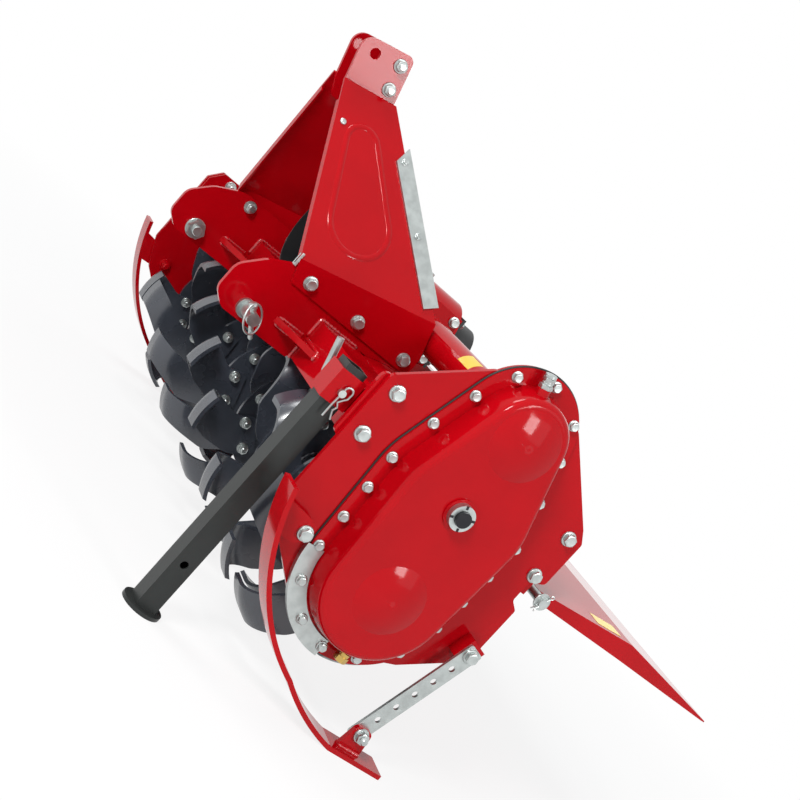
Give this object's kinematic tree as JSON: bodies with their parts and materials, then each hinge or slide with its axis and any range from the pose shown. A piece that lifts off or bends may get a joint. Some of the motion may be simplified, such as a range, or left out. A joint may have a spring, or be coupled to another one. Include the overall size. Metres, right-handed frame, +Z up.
{
  "type": "rotary tiller",
  "caption": "Gear-driven rotary tiller for a three-point hitch, with a tined rotor under a hood, side skids, a parking stand and a hinged rear deflector.",
  "frame": {"origin": "middle of the bottom of the whole machine's box, on the ground", "axes": "+X to the gear-case side along the rotor's axis, +Y to the rear, +Z up; the hitch faces -Y"},
  "size_m": [1.3766, 1.0948, 0.8922],
  "materials": {
    "red_paint": "gloss",
    "zinc_plate": "zinc plated",
    "black_paint": "satin",
    "black_plastic": "moulded",
    "black_rubber": "matt",
    "brass": "turned",
    "bare_steel": "machined",
    "dark_steel": "blackened"
  },
  "bodies": {
    "frame": {"side_plate_gear": "red_paint", "side_plate_far": "red_paint", "front_beam": "red_paint", "hitch_gussets": "red_paint", "rear_beam": "red_paint", "rotor_hood": "red_paint", "hitch_plate_gear": "red_paint", "hitch_plate_far": "red_paint", "hitch_pin_gear": "zinc_plate", "hitch_pin_far": "zinc_plate", "mast_panel_gear": "red_paint", "mast_panel_far": "red_paint", "mast_strip_gear": "zinc_plate", "mast_strip_far": "zinc_plate", "mast_clevis": "red_paint", "gear_case_gasket": "black_rubber", "gear_case_cover": "red_paint", "breather": "zinc_plate", "drain_plug": "brass", "idler_hub": "red_paint", "idler_nut": "zinc_plate", "idler_shaft": "dark_steel", "gear_train": "bare_steel", "wear_plate": "zinc_plate", "gearbox_bed": "red_paint", "gearbox": "red_paint", "pto_shield": "black_plastic", "gearbox_cap": "black_plastic", "drive_tube": "red_paint", "bearing_housing_gear": "red_paint", "bearing_housing_far": "red_paint", "skid_gear": "red_paint", "skid_adjuster_gear": "zinc_plate", "adjuster_bracket_gear": "red_paint", "skid_far": "red_paint", "skid_adjuster_far": "zinc_plate", "adjuster_bracket_far": "red_paint", "stand_socket": "red_paint", "stand_pin": "zinc_plate"},
    "rotor": {"tine_row_1": "black_paint", "tine_row_2": "black_paint", "tine_row_3": "black_paint", "tine_row_4": "black_paint", "tine_row_5": "black_paint", "tine_row_6": "black_paint", "tine_row_7": "black_paint", "tine_row_8": "black_paint", "rotor_shaft": "black_paint"},
    "pto": {"pto_shaft": "bare_steel"},
    "stand": {"stand_leg": "black_paint"},
    "deflector": {"deflector": "red_paint", "deflector_rod": "zinc_plate"}
  },
  "joints": [
    {"name": "rotor_spin", "type": "hinge", "parent": "frame", "child": "rotor", "pos_m": [-0.00625, -0.17461, 0.245], "axis": [1, 0, 0], "continuous": true},
    {"name": "pto_spin", "type": "hinge", "parent": "frame", "child": "pto", "pos_m": [-0.00625, -0.17461, 0.5534], "axis": [0, -1, 0], "continuous": true},
    {"name": "stand_slide", "type": "slide", "parent": "frame", "child": "stand", "axis": [0, 0, 1], "range_m": [0, 0.34]},
    {"name": "deflector_tilt", "type": "hinge", "parent": "frame", "child": "deflector", "pos_m": [-0.00625, 0.0744, 0.372], "axis": [1, 0, 0], "range_deg": [-50, 28]}
  ],
  "couplings": [
    {"joint": "pto_spin", "follows": "rotor_spin", "ratio": 2.7}
  ]
}
